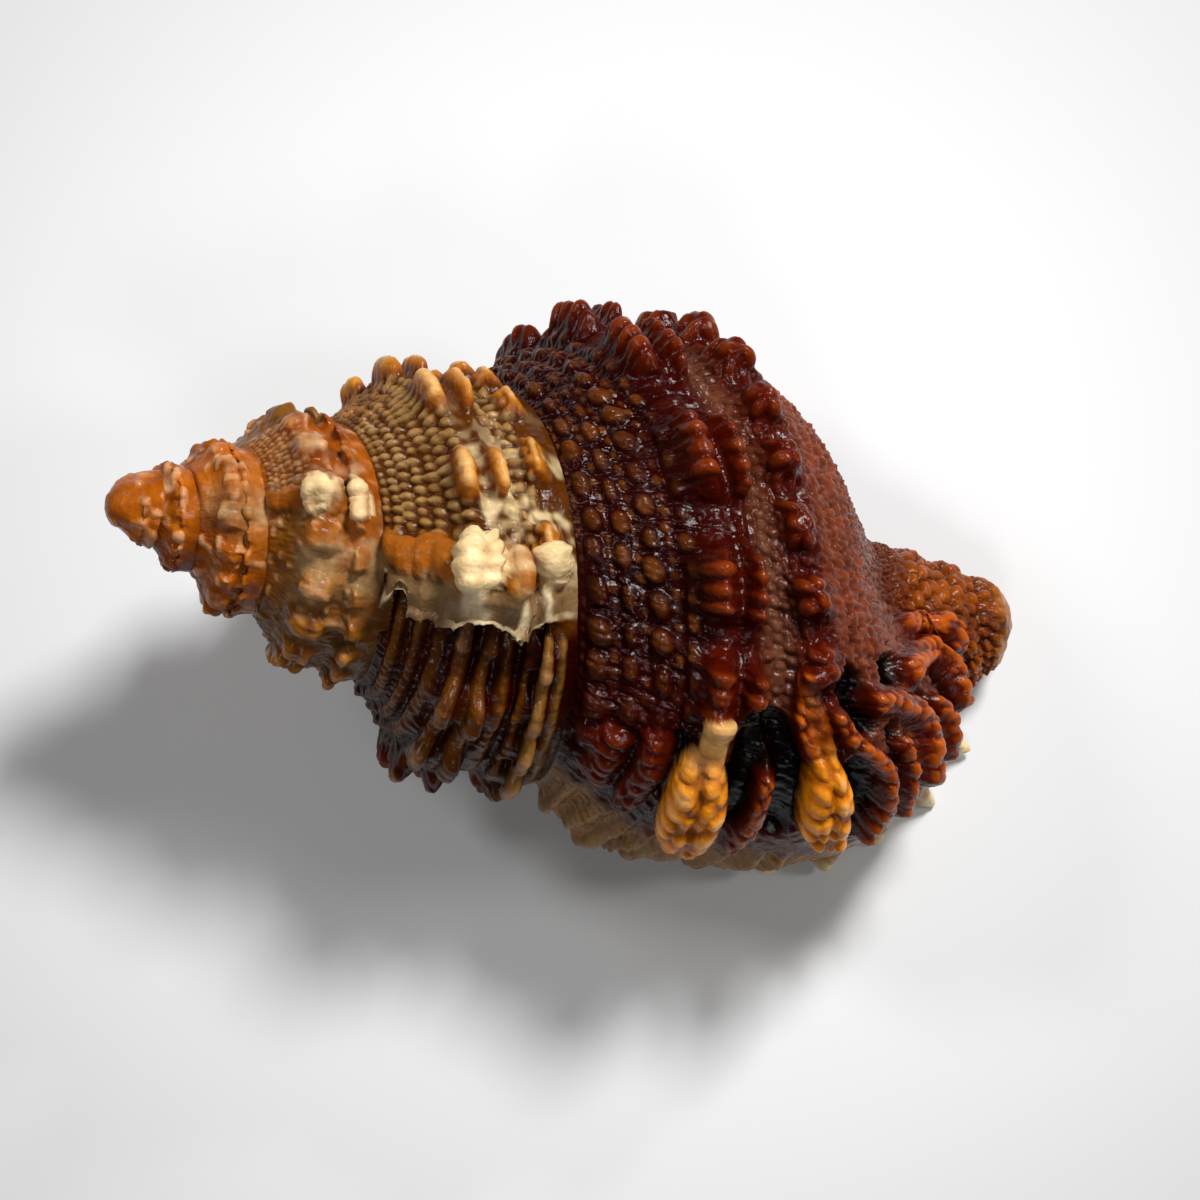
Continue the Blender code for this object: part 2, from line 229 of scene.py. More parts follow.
def worn(n):
    """How far the older whorls are rubbed smooth and overgrown."""
    return ease(-n, 1.70, 2.15)


def grainy(n, c):
    """Where beads are left on the worn part: the upper side of one old whorl."""
    return ease(hump(n + 2.37, 0.10), 0.2, 0.7) * ease(c, 0.15, 0.40) * fade(c, 1.5, 2.1)


def knob_share(n, c):
    """1 on the knobs of both rows and 0 between them."""
    young = ease(n, -1.0, -0.9)
    rows = twin_rows(c) * young + fingers(c) * (1.0 - young)
    a = knob_wave(n, SHOULDER_KNOBS, SHOULDER_EVEN) * rows
    b = knob_wave(n, SECOND_KNOBS, SECOND_EVEN) * hump(c - row_b(n), 0.32)
    return np.maximum(a, b)


def sculpture(n, c):
    """Height of ridges and knobs over the plain whorl, with the same rows of knobs as the solid."""
    ra = shoulder_radius(n)
    young = ease(n, -1.0, -0.9)
    wave = knob_wave(n, SHOULDER_KNOBS, SHOULDER_EVEN)
    knob = KNOB_HEIGHT * ra * fade(n, -0.17, -0.14)
    old_rows = fingers(c) * (1.0 - worn(n)) + 0.75 * hump(c - 2.05, 0.62) * worn(n)
    rows = twin_rows(c) * young + old_rows * (1.0 - young)
    top = (1.0 - (1.0 - wave) ** 2.0) * young + wave ** 1.3 * (1.0 - young)
    high = knob * (0.15 + 1.10 * top) * rows
    top = 1.0 - (1.0 - knob_wave(n, SECOND_KNOBS, SECOND_EVEN)) ** 1.4
    high = high + knob * (0.15 + 0.90 * top) * hump(c - row_b(n), 0.36) * fade(n, -0.205, -0.185)
    ribs = 0.0
    for turn in VARIX_TURNS[1:]:
        away = n - varix_line(turn, c)
        rib = hump(away, VARIX_WIDTH) + 0.25 * hump(away, 2.0 * VARIX_WIDTH)
        rows = 0.75 + 0.6 * hump(c - 2.0, 0.5) + 0.6 * hump(c - row_b(n), 0.5)
        ribs = ribs + VARIX_HEIGHT * ra * rib * rows * (0.45 if turn == LEDGE_TURN else 1.0)
    ribs = ribs + lip_varix(n, c)
    canal = 0.20 * np.cos(2.0 * math.pi * (c - 9.5)) * ease(c, 8.5, 9.5) - 0.35 * ease(c, 8.8, 9.8)
    edge = ease(n, -0.045, 0.0)
    teeth = edge * (0.35 + (0.8 + 1.0 * ease(c, 4.0, 5.4) + 0.6 * ease(c, 6.4, 7.4)) * tooth_wave(c))
    return (high + ribs + canal + teeth) * open_part(n, c)


def ledge_fold(n, c):
    """The old lip: past its varix the surface runs on as a free ragged plate, then turns back under it."""
    x = (n - LEDGE_TURN) * 360.0
    strength = ease(c, 0.10, 0.35) * fade(c, 2.6, 3.7)
    shift = np.interp(x, LEDGE_DEGREES, LEDGE_SHIFT) / 360.0
    lift = np.interp(x, LEDGE_DEGREES, LEDGE_LIFT)
    ragged = 0.05 * np.sin(9.0 * c) + 0.05 * np.sin(23.0 * c + 1.0) + 0.04 * np.sin(51.0 * c)
    notch = -0.62 * hump(c - 0.62, 0.11) + 0.22 * hump(c - 0.34, 0.13)
    plate = ease(x, 0.0, 7.0) * fade(x, 9.5, 13.0)
    shift = shift * (1.0 + (ragged + notch) * plate) * (1.0 - 0.50 * hump(c - 2.1, 0.55))
    lift = lift + 0.18 * np.sin(13.0 * c + 0.5) * plate
    return shift * strength, lift * strength


def place(n, c, plain=False):
    """Point of the outside at turn n and section place c: (z, r, angle). A plain one has no sculpture."""
    n, c = np.broadcast_arrays(np.asarray(n, float), np.asarray(c, float))
    zs, rs = controls(n)
    z, r = along(zs, c), along(rs, c)
    swing = LIP_SWING * ease(n, -0.14, 0.0) * ease(c, 0.2, 2.5) * fade(c, 8.0, 11.5)
    angle = LIP_PHASE + 2.0 * math.pi * n + swing
    if plain:
        return z, r, angle
    step = 0.02
    dz = along(zs, np.minimum(c + step, 12.9)) - along(zs, np.maximum(c - step, 0.0))
    dr = along(rs, np.minimum(c + step, 12.9)) - along(rs, np.maximum(c - step, 0.0))
    size = np.hypot(dz, dr) + 1e-9
    high = sculpture(n, c)
    shift, lift = ledge_fold(n, c)
    high = high + lift
    lean = 0.6 + 0.4 * ease(c, 4.4, 6.0) * ease(n, -0.3, -0.1)
    turned = angle + 2.0 * math.pi * shift
    return z - high * lean * dr / size, r + high * (1.0 - lean + lean * dz / size), turned


def lay_down(z, side, up):
    """From the shell's own axis, side and top to the world, for a shell that lies."""
    return np.stack([z * math.cos(PITCH) + up * math.sin(PITCH), side * np.ones_like(z),
                     up * math.cos(PITCH) - z * math.sin(PITCH)], -1)


def to_space(z, r, angle):
    """World place, in millimetres, of a point given round the axis."""
    bend = CANAL_BEND * ease(z, 46.0, LENGTH)
    side = -r * np.sin(angle) + bend * math.sin(LIP_PHASE)
    up = r * np.cos(angle) - bend * math.cos(LIP_PHASE)
    return lay_down(z, side, up) + SOLID_AT


# ---- numbers that look random but come out the same each time ----

def scatter(i, seed=0):
    """A number from 0 to 1 for each whole number i."""
    x = np.sin(np.asarray(i, float) * 127.1 + seed * 311.7 + 74.7) * 43758.5453
    return x - np.floor(x)


def lumps3(p, size, seed=0):
    """Smooth lumpy values from -1 to 1 through space, with lumps about this size."""
    q = p / size + seed * 17.3
    i = np.floor(q)
    f = q - i
    f = f * f * (3.0 - 2.0 * f)
    total = 0.0
    for dx in (0, 1):
        for dy in (0, 1):
            for dz in (0, 1):
                key = (i[..., 0] + dx) * 1.0 + (i[..., 1] + dy) * 57.0 + (i[..., 2] + dz) * 113.0
                w = ((f[..., 0] if dx else 1 - f[..., 0]) * (f[..., 1] if dy else 1 - f[..., 1])
                     * (f[..., 2] if dz else 1 - f[..., 2]))
                total = total + w * scatter(key, seed)
    return 2.0 * total - 1.0


def rough3(p, size, seed=0):
    """Lumps with finer lumps on them, from about -1 to 1."""
    fine = 0.15 * lumps3(p, size * 0.25, seed + 2)
    return 0.6 * lumps3(p, size, seed) + 0.3 * lumps3(p, size * 0.5, seed + 1) + fine


# ---- fine relief ----

AROUND = 104.0                  # millimetres round the last whorl
AROUND_PLACES = (0.0, 2.0, 4.0, 5.0, 6.0, 7.0, 8.0, 9.0, 12.0)
AROUND_SHARES = (0.85, 1.0, 1.0, 0.95, 0.82, 0.64, 0.42, 0.29, 0.16)    # of that, at those places
ACROSS = 3.4                    # millimetres to one step of c on its sides
LIP_TURN = -0.15                # middle of the lip varix


def bead_row(n, c, at, half, per_turn, seed, long=0.42):
    """Round beads along one spiral line: 0 between them, up to 1 on their tops."""
    x = n * per_turn + scatter(seed, 5)
    k = np.round(x)
    size = 0.72 + 0.5 * scatter(k, seed)
    u = (x - k + 0.2 * (scatter(k, seed + 3) - 0.5)) / (long * np.minimum(1.0, 0.6 + 0.45 * size))
    v = (c - at - 0.4 * half * (scatter(k, seed + 7) - 0.5)) / (half * size)
    return size * unit(1.0 - u * u - v * v) ** 0.6


def cord(c, at, half):
    """Rounded cord along the spiral: 1 on its line, 0 at half beside it."""
    return unit(1.0 - ((c - at) / half) ** 2) ** 0.7


def granules(x, y, size, seed, sharp=0.6):
    """Domes of uneven size on a jittered honeycomb, size millimetres apart."""
    best = np.zeros_like(x)
    row0 = np.floor(y / (0.866 * size))
    for dr in (0, 1):
        row = row0 + dr
        shift = 0.5 * (row % 2.0)
        col = np.round(x / size - shift)
        key = row * 131.0 + col
        cx = (col + shift + 0.36 * (scatter(key, seed) - 0.5)) * size
        cy = (row + 0.30 * (scatter(key, seed + 1) - 0.5)) * 0.866 * size
        reach = size * (0.42 + 0.20 * scatter(key, seed + 2))
        best = np.maximum(best, unit(1.0 - ((x - cx) ** 2 + (y - cy) ** 2) / reach ** 2) ** sharp
                          * (0.6 + 0.4 * scatter(key, seed + 3)))
    return best


def around(c):
    """Millimetres to one turn on the last whorl, less towards the canal."""
    return AROUND * np.interp(c, AROUND_PLACES, AROUND_SHARES)


def stroke(n, c, line, half):
    """Ridge along a line of (n, c) points on the last whorl: 1 on the line, 0 at half mm beside it."""
    y = c * ACROSS
    best = np.full(n.shape, 1e9)
    for (n0, c0), (n1, c1) in zip(line, line[1:]):
        turn = around(0.5 * (c0 + c1))
        x = n * turn
        ax, ay = n0 * turn, c0 * ACROSS
        bx, by = n1 * turn - ax, c1 * ACROSS - ay
        t = unit(((x - ax) * bx + (y - ay) * by) / (bx * bx + by * by))
        best = np.minimum(best, (x - ax - t * bx) ** 2 + (y - ay - t * by) ** 2)
    return unit(1.0 - best / half ** 2) ** 0.6


def blob(n, c, at_n, at_c, half_n, half_c):
    """Rounded block: 1 in the middle, 0 at its edge."""
    d = np.abs((n - at_n) / half_n) ** 2.6 + np.abs((c - at_c) / half_c) ** 2.6
    return unit(1.0 - d) ** 0.5


# rows of beads on the last whorl's upper side: place, half width, beads a turn, height
RAMP_BEADS = ((0.40, 0.145, 36, 0.60), (0.79, 0.105, 40, 0.40), (1.17, 0.120, 43, 0.56),
              (1.53, 0.07, 58, 0.28))
RAMP_SMALL = ((0.17, 0.05, 92, 0.12), (0.60, 0.05, 84, 0.13), (0.97, 0.05, 88, 0.13),
              (1.36, 0.045, 92, 0.14))
# pairs of cords under its two rows of knobs: place, half width
SHOULDER_CORDS = ((1.84, 0.22), (2.42, 0.22))
SECOND_CORDS = ((3.66, 0.16), (4.02, 0.16))
SLOPE_CORDS = tuple(4.32 + 0.36 * k for k in range(13))
# the same on the spire
SPIRE_BEADS = tuple(0.22 + 0.25 * k for k in range(7))
SPIRE_FINGERS = ((1.78, 0.24), (2.32, 0.22))
SPIRE_SMALL = (2.70, 2.95, 3.18)
SPIRE_CORDS = (3.42, 3.72)
CAVE_CORDS = ((0.55, 0.16), (0.95, 0.14), (1.32, 0.16), (1.72, 0.17), (2.18, 0.20), (2.72, 0.17),
              (3.10, 0.12), (3.48, 0.19), (3.82, 0.12))
# lumps across an old lip: place, half width, 1 if cream
OLD_LIP_LUMPS = ((0.24, 0.30, 0), (0.62, 0.27, 0), (0.98, 0.27, 0), (1.30, 0.25, 0), (1.88, 0.32, 1),
                 (2.40, 0.17, 0), (2.74, 0.15, 0), (3.04, 0.12, 0), (3.52, 0.42, 1))
# the two old lips that carry them: turn, half width, share of the height
OLD_LIPS = ((LEDGE_TURN - 0.0085, 0.0140, 1.0), (VARIX_TURNS[4], 0.018, 0.6))
# lip varix, raised ridges and hollows: a line of (n, c), half width and height or depth in mm
RIDGES = (
    (((-0.205, 3.62), (-0.180, 3.50), (-0.160, 3.66)), 0.75, 0.75),
    (((-0.182, 4.15), (-0.170, 4.35), (-0.160, 4.80), (-0.148, 5.15), (-0.120, 5.22), (-0.098, 5.0)),
     0.60, 1.15),
    (((-0.190, 5.15), (-0.186, 5.70), (-0.176, 6.30), (-0.158, 6.60), (-0.125, 6.45)), 0.85, 1.30),
    (((-0.197, 6.85), (-0.200, 7.50), (-0.196, 8.20), (-0.180, 8.60), (-0.140, 8.2)), 0.80, 1.20),
    (((-0.232, 7.90), (-0.238, 8.70), (-0.236, 9.60), (-0.222, 10.0), (-0.200, 9.6)), 0.80, 1.10),
    (((-0.158, 5.75), (-0.140, 5.85), (-0.105, 5.75)), 0.50, 0.8),
    (((-0.160, 7.35), (-0.140, 7.45), (-0.110, 7.40)), 0.50, 0.8),
    (((-0.136, 2.95), (-0.115, 3.02), (-0.082, 2.98)), 0.58, 0.9),
    (((-0.145, 1.20), (-0.118, 1.22), (-0.090, 1.12)), 0.75, 0.8),
    (((-0.135, 0.74), (-0.108, 0.72), (-0.090, 0.68)), 0.65, 0.6),
)
HOLLOWS = (
    (((-0.176, 2.55), (-0.150, 2.62), (-0.105, 2.55)), 1.10, 1.3),
    (((-0.172, 2.95), (-0.150, 3.25), (-0.100, 3.38)), 1.00, 1.3),
    (((-0.200, 4.62), (-0.182, 4.78)), 1.25, 1.4),
    (((-0.150, 4.62), (-0.125, 4.80), (-0.100, 4.62)), 0.95, 1.2),
    (((-0.168, 5.55), (-0.140, 5.52), (-0.110, 5.40)), 0.60, 0.9),
    (((-0.205, 5.90), (-0.203, 6.60)), 0.95, 1.1),
    (((-0.170, 7.00), (-0.140, 6.95), (-0.110, 6.90)), 0.75, 1.0),
    (((-0.216, 8.10), (-0.217, 8.90)), 1.05, 1.3),
    (((-0.160, 7.90), (-0.130, 7.85)), 0.75, 0.9),
    (((-0.150, 1.52), (-0.110, 1.45)), 0.60, 0.7),
    (((-0.140, 0.95), (-0.090, 0.90)), 0.50, 0.6),
)
# its two gold knobs: turn, place, half of each, height in mm, place of the neck
LIP_GOLD = ((-0.110, 2.02, 0.039, 0.52, 1.9, 1.88), (-0.130, 3.98, 0.034, 0.46, 2.0, 3.66))
LIP_LEAN = 4.5                  # how far they lean, in steps of c per turn


def lip_forms(n, c):
    """Knobs, ridges and hollows of the lip varix: height in mm, then gold, orange, pit, grain, 0 to 1."""
    high, gold, orange, pit, grain = np.zeros((5,) + n.shape)
    near = (n > -0.27) & (c < 10.6)
    if not near.any():
        return high, gold, orange, pit, grain
    nn, cc = n[near], c[near]
    warp = lumps3(np.stack([nn * AROUND, cc * ACROSS, 0.0 * nn], -1), 2.2, 201)
    nn = nn + 0.0022 * warp
    cc = cc + 0.05 * np.roll(warp, 7)
    x, y = (nn - LIP_TURN) * around(cc), cc * ACROSS
    beads = granules(x, y, 0.95, 205)
    tone = np.array(beads)
    up, dn, g, o = np.zeros((4,) + nn.shape)
    for line, half, depth in HOLLOWS:
        dn = np.maximum(dn, 0.65 * depth * stroke(nn, cc, line, half * 1.15) ** 1.3)
    for line, half, tall in RIDGES:
        s = stroke(nn, cc, line, 1.25 * half) ** 1.5
        up = np.maximum(up, 0.8 * tall * s + 0.34 * beads * ease(s, 0.45, 0.85))
        o = np.maximum(o, s)
    for at_n, at_c, half_n, half_c, tall, neck in LIP_GOLD:
        taper = 0.82 + 0.18 * ease(nn, at_n - half_n, at_n + 0.2 * half_n)
        body = blob(nn, cc, at_n, at_c + LIP_LEAN * (nn - at_n), half_n, half_c * taper)
        bumps = granules(x, y, 1.12, 207 + int(at_c))
        split = hump(cc - at_c - LIP_LEAN * (nn - at_n), 0.06)
        stem = stroke(nn, cc, ((at_n - 0.062, neck), (at_n - 0.02, at_c)), 0.72)
        up = np.maximum(up, tall * body ** 1.4 + 0.45 * bumps * ease(body, 0.3, 0.7) - 0.45 * split * body)
        tone = np.where(body > 0.1, bumps * (1.0 - 0.6 * split), tone)
        up = np.maximum(up, 0.42 * tall * stem)
        g = np.maximum(g, np.maximum(unit(2.5 * body), 0.8 * unit(2.0 * stem)))
    covered = unit(up / 0.5)
    high[near] = up - dn * (1.0 - covered)
    gold[near] = g
    orange[near] = o
    pit[near] = unit(dn / 0.5) * (1.0 - covered)
    grain[near] = tone
    return high, gold, orange, pit, grain


def growth_lines(n, p):
    """Fine ridges across the spiral, where growth paused."""
    x = n + 0.004 * lumps3(p, 3.0, 31)
    return (0.045 * np.sin(2 * math.pi * 118 * x) + 0.035 * np.sin(2 * math.pi * 203 * x + 1.3)) * (
        0.6 + 0.4 * lumps3(p, 5.0, 32))


def last_whorl_relief(n, c, p):
    """(height in mm, bead tops 0 to 1) of the young, dark part."""
    wc = c + 0.05 * lumps3(p, 4.5, 3) * ease(c, 0.1, 0.6)
    wn = n + 0.0030 * lumps3(p, 4.0, 4)
    high, tops = np.zeros((2,) + n.shape)
    quiet = 1.0 - 0.8 * ease(n, -0.12, -0.07)

    def add(amount, tall):
        nonlocal high, tops
        high = high + tall * amount * quiet
        tops = np.maximum(tops, amount * quiet)
    for k, (at, half, count, tall) in enumerate(RAMP_BEADS):
        add(bead_row(wn, wc, at, 1.15 * half, count, 11 + k, 0.42), 0.85 * tall)
        high = high + 0.14 * cord(wc, at, 1.4 * half)
    rough = granules(wn * AROUND, wc * 3.6, 0.62, 17) * fade(c, 1.6, 1.8)
    high = high + 0.15 * rough * quiet
    for k, (at, half, count, tall) in enumerate(RAMP_SMALL):
        add(bead_row(wn, wc, at, half, count, 21 + k), tall)
    wave = knob_wave(n, SHOULDER_KNOBS, SHOULDER_EVEN)
    for k, (at, half) in enumerate(SHOULDER_CORDS):
        add(bead_row(wn, wc, at, half, 88 + 5 * k, 41 + k) * (0.5 + 0.5 * wave), 0.27)
    x, y = wn * AROUND, wc * ACROSS
    gap = ease(c, 2.62, 2.75) * fade(c, 3.42, 3.55)
    add(granules(x, wc * 2.9, 0.78, 51) * gap, 0.36)
    for k, (at, half) in enumerate(SECOND_CORDS):
        add(bead_row(wn, wc, at, half, 84 + 4 * k, 61 + k), 0.30)
    slope = ease(c, 4.15, 4.3) * fade(c, 8.6, 9.1)
    narrow = ease(c, 6.4, 7.0)
    fine = granules(x, y, 0.66, 81) * (1.0 - narrow) + granules(0.45 * x, y, 0.66, 83) * narrow
    fine = 0.32 * fine + 0.20 * granules(x, y, 1.25, 85) * (1.0 - narrow)
    high = high + fine * slope * quiet
    tops = np.maximum(tops, 1.8 * fine * slope * quiet)
    for at in SLOPE_CORDS:
        high = high + 0.15 * cord(wc, at, 0.14) * slope * quiet
    canal = ease(c, 8.7, 9.3) * fade(c, 11.6, 11.95)
    lumpy = granules(wn * 24.0, wc * ACROSS, 1.10, 121)
    high = high + 0.50 * lumpy * canal + 0.55 * lumps3(p, 0.9, 123) * ease(c, 11.3, 11.9)
    tops = np.maximum(tops, lumpy * canal)
    return high, tops


def spire_relief(n, c, p, scale):
    """(height in mm on a whorl of full size, bead tops) of the older part: round beads close together."""
    wc = c + 0.03 * lumps3(p, 2.5, 3)
    high, tops = np.zeros((2,) + n.shape)
    wave = knob_wave(n, SHOULDER_KNOBS, SHOULDER_EVEN)
    for k, at in enumerate(SPIRE_BEADS):
        bead = bead_row(n + 0.0006 * lumps3(p, 1.5, 6), wc, at, 0.137, 82 + k, 151 + k, 0.47)
        high = high + 0.46 * bead * (1.0 - 0.8 * ease(c, 1.35, 1.60) * wave)
        tops = np.maximum(tops, bead)
    for k, (at, half) in enumerate(SPIRE_FINGERS):
        ridge = cord(wc, at, half) * wave
        high = high + 0.30 * ridge + 0.10 * bead_row(n, wc, at, half, 70, 161 + k)
        tops = np.maximum(tops, 0.9 * ridge)
    high = high - 0.35 * wave * hump(wc - 2.06, 0.10)
    for k, at in enumerate(SPIRE_SMALL):
        bead = bead_row(n, wc, at, 0.12, 88 + k, 171 + k, 0.46)
        high = high + 0.42 * bead
        tops = np.maximum(tops, bead)
    for at in SPIRE_CORDS:
        ridge = cord(wc, at, 0.16) * knob_wave(n, SECOND_KNOBS, SECOND_EVEN)
        high = high + 0.28 * ridge
        tops = np.maximum(tops, 0.8 * ridge)
    below = ease(n, -1.200, -1.185) * ease(-n, 0.97, 1.02)
    columns = np.zeros_like(n)
    for at, half in CAVE_CORDS:
        columns = np.maximum(columns, cord(wc, at, half) * (0.75 + 0.25 * lumps3(p, 1.6, 41)))
    high = high * (1.0 - 0.65 * below) + 1.00 * columns * below
    tops = tops * (1.0 - below) + columns * below
    old = worn(n) * (1.0 - 0.75 * grainy(n, c))
    lumpy = 0.30 * lumps3(p, 1.7, 43) + 0.14 * lumps3(p, 0.7, 44)
    spots = unit(lumps3(p, 0.62, 45) - 0.25)
    high = high * (1.0 - 0.80 * old) + (lumpy + 0.6 * spots) * old / scale ** 0.5
    tops = tops * (1.0 - 0.85 * old) + 1.3 * spots * old
    return high, tops


def old_varix(n, c, p, turn, half_turn, seed):
    """Lumps across an old lip on the spire: height in mm on a full whorl, cover and cream 0 to 1."""
    away = (n - turn) / half_turn + 0.18 * np.sin(7.0 * c)
    high, cover, cream = np.zeros((3,) + n.shape)
    for at, half, pale in OLD_LIP_LUMPS:
        wide = np.abs((c - at) / half) ** 2.4
        lump = unit(1.0 - wide - np.abs(away / (1.0 + 0.30 * pale)) ** 2.4) ** 0.5
        high = np.maximum(high, lump * (1.00 + 0.35 * pale))
        cover = np.maximum(cover, unit(2.0 * lump))
        cream = np.maximum(cream, pale * unit(3.0 * lump))
    lobes = 0.45 * np.abs(np.cos(math.pi * (away + 0.2) * 1.7))
    lobes = lobes - 0.95 * hump(c - 1.90, 0.07) - 0.5 * hump(c - 2.22, 0.05)
    wrinkles = lobes + 0.08 * lumps3(p, 0.8, seed) + 0.06 * lumps3(p, 0.4, seed + 1)
    return high + wrinkles * cover * cream, cover, cream


def old_plate(n):
    """1 on the free plate that runs on past the ledge's varix."""
    return (ease(n, LEDGE_TURN + 0.004, LEDGE_TURN + 0.0085)
            * fade(n, LEDGE_TURN + 0.028, LEDGE_TURN + 0.032))


def fine_relief(n, c, p):
    """Height in millimetres over the plain sculpture, and the masks that the colours need."""
    scale = np.clip(shoulder_radius(n) / 15.5, 0.10, 1.05)
    young = ease(n, -1.05, -0.95)
    high_young, tops_young = last_whorl_relief(n, c, p)
    high_old, tops_old = spire_relief(n, c, p, scale)
    high = high_young * young + high_old * (1.0 - young)
    tops = tops_young * young + tops_old * (1.0 - young)
    lip, gold, orange, pit, grain = lip_forms(n, c)
    keep = 1.0 - 0.85 * np.maximum(np.maximum(gold, orange), pit)
    high = high * keep + lip
    cream, ridge = np.zeros((2,) + n.shape)
    for k, (turn, half_turn, tall) in enumerate(OLD_LIPS):
        lump, cover, pale = old_varix(n, c, p, turn, half_turn, 181 + 2 * k)
        high = high * (1.0 - 0.8 * cover) + lump * tall
        ridge = np.maximum(ridge, cover)
        cream = np.maximum(cream, pale)
    margin = ease(n, -0.075, -0.05)
    folds = np.sin(2.0 * math.pi * 2.3 * c + 0.9 * np.sin(3.1 * c))
    high = high + 0.42 * folds * margin * ease(c, 0.2, 0.6) * fade(c, 3.9, 4.5)
    high = high + 0.22 * granules(n * AROUND, c * ACROSS, 0.9, 211) * margin * (1.0 - tooth_wave(c))
    high = high + growth_lines(n, p) * fade(c, 6.0, 8.0) + 0.10 * rough3(p, 1.6, 5)
    high = high + 0.05 * lumps3(p, 0.5, 9)
    plate = old_plate(n)
    high = high * (1.0 - 0.85 * plate)
    knob = 0.8 * knob_share(n, c)
    high = high - 0.25 * young * (1.0 - np.maximum(np.maximum(gold, orange), knob))
    raised = 0.8 * knob * fade(n, -1.22, -1.18)
    high = high - 0.45 * (1.0 - young) * (1.0 - raised) * (1.0 - 0.5 * worn(n))
    free = open_part(n, c) ** 0.5
    free = np.where(c > 10.0, np.maximum(free, 0.45), free)
    free = free * fade(n, -0.012, -0.002) * (1.0 - ease(c, 3.95, 4.2) * fade(n, -0.998, -0.98))
    masks = dict(tops=tops * keep, plate=plate, gold=gold, orange=orange, pit=pit, grain=grain,
                 cream=cream, ridge=ridge, margin=margin)
    dip = 0.20 * fade(c, 0.0, 0.35) * fade(n, -0.03, -0.005)
    return (high * free - dip) * scale * ease(n, FIRST_TURN, FIRST_TURN + 0.15), masks


# ---- colour ----

def srgb(r, g, b):
    """Linear colour of screen values from 0 to 255."""
    return (np.array([r, g, b]) / 255.0) ** 2.2


BLACK_BROWN = srgb(20, 2, 0)
DEEP_RED = srgb(52, 9, 0)
CHESTNUT = srgb(88, 27, 2)
AMBER = srgb(126, 54, 14)
RUST = srgb(160, 74, 18)
OLIVE_TAN = srgb(104, 56, 20)
PURPLE = srgb(128, 66, 42)
PURPLE_DARK = srgb(54, 14, 5)
GREY_BROWN = srgb(104, 66, 46)
ORANGE = srgb(168, 84, 14)
ORANGE_BROWN = srgb(122, 58, 10)
GOLD = srgb(214, 128, 24)
PALE_GOLD = srgb(236, 192, 124)
CREAM = srgb(220, 196, 146)
PALE_PINK = srgb(206, 150, 104)
BROWN_GAP = srgb(74, 39, 8)
SHADED = srgb(58, 28, 10)
GREY_BEIGE = srgb(150, 115, 68)
KNOB_ORANGE = srgb(180, 113, 38)
TIP_ORANGE = srgb(170, 92, 18)
TIP_BROWN = srgb(112, 50, 10)
MAUVE = srgb(114, 88, 58)
OLIVE_CREAM = srgb(146, 106, 50)
OLIVE_DARK = srgb(100, 58, 16)
PLATE_WHITE = srgb(204, 184, 148)
TIP_OLIVE = srgb(100, 68, 26)
GREY_FILM = srgb(146, 124, 84)
OCHRE_BROWN = srgb(150, 88, 28)
MILKY = srgb(186, 150, 112)
OCHRE = srgb(190, 120, 36)


def mix(a, b, t):
    """Colour a where t is 0, b where it is 1."""
    t = unit(t)[..., None]
    return a * (1.0 - t) + b * t


def young_colours(n, c, p, m, knob, patch, small):
    """The last whorl: nearly black red-brown hollows, chestnut knobs and olive-tan beads, all wet."""
    top = unit(m["tops"])
    col = mix(BLACK_BROWN, DEEP_RED, 0.45 + 0.35 * ease(c, 1.4, 2.0) + 0.35 * patch)
    ramp = fade(c, 1.55, 1.75)
    # the beads' own random tone, and painted shade that dims them towards the lip varix
    tone_and_shade = (0.44 + 0.42 * lumps3(p, 3.5, 73)) * (1.0 - 0.55 * ease(n, -0.24, -0.12))
    col = mix(col, OLIVE_TAN, ramp * ease(top, 0.35, 0.95) * tone_and_shade * (0.85 + 0.3 * small))
    col = mix(col, CHESTNUT, (1.0 - ramp) * (0.10 + 0.30 * top + 0.50 * knob + 0.15 * patch))
    col = mix(col, AMBER, (1.0 - ramp) * knob * ease(top, 0.4, 1.0) * 0.60)
    band = hump(c - 3.05, 0.36)
    col = mix(col, GREY_BROWN, band * (0.25 + 0.55 * top))
    slope = ease(c, 4.1, 4.8) * fade(c, 7.6, 8.8)
    col = mix(col, mix(PURPLE_DARK, PURPLE, 0.15 + 0.9 * top + 0.2 * small), 0.85 * slope)
    warm = ease(c, 7.8, 9.2)
    col = mix(col, mix(DEEP_RED, ORANGE, 0.10 + 0.62 * top + 0.15 * patch), 0.9 * warm)
    col = mix(col, OCHRE, ease(c, 11.2, 11.9) * (0.5 + 0.4 * small))
    return col


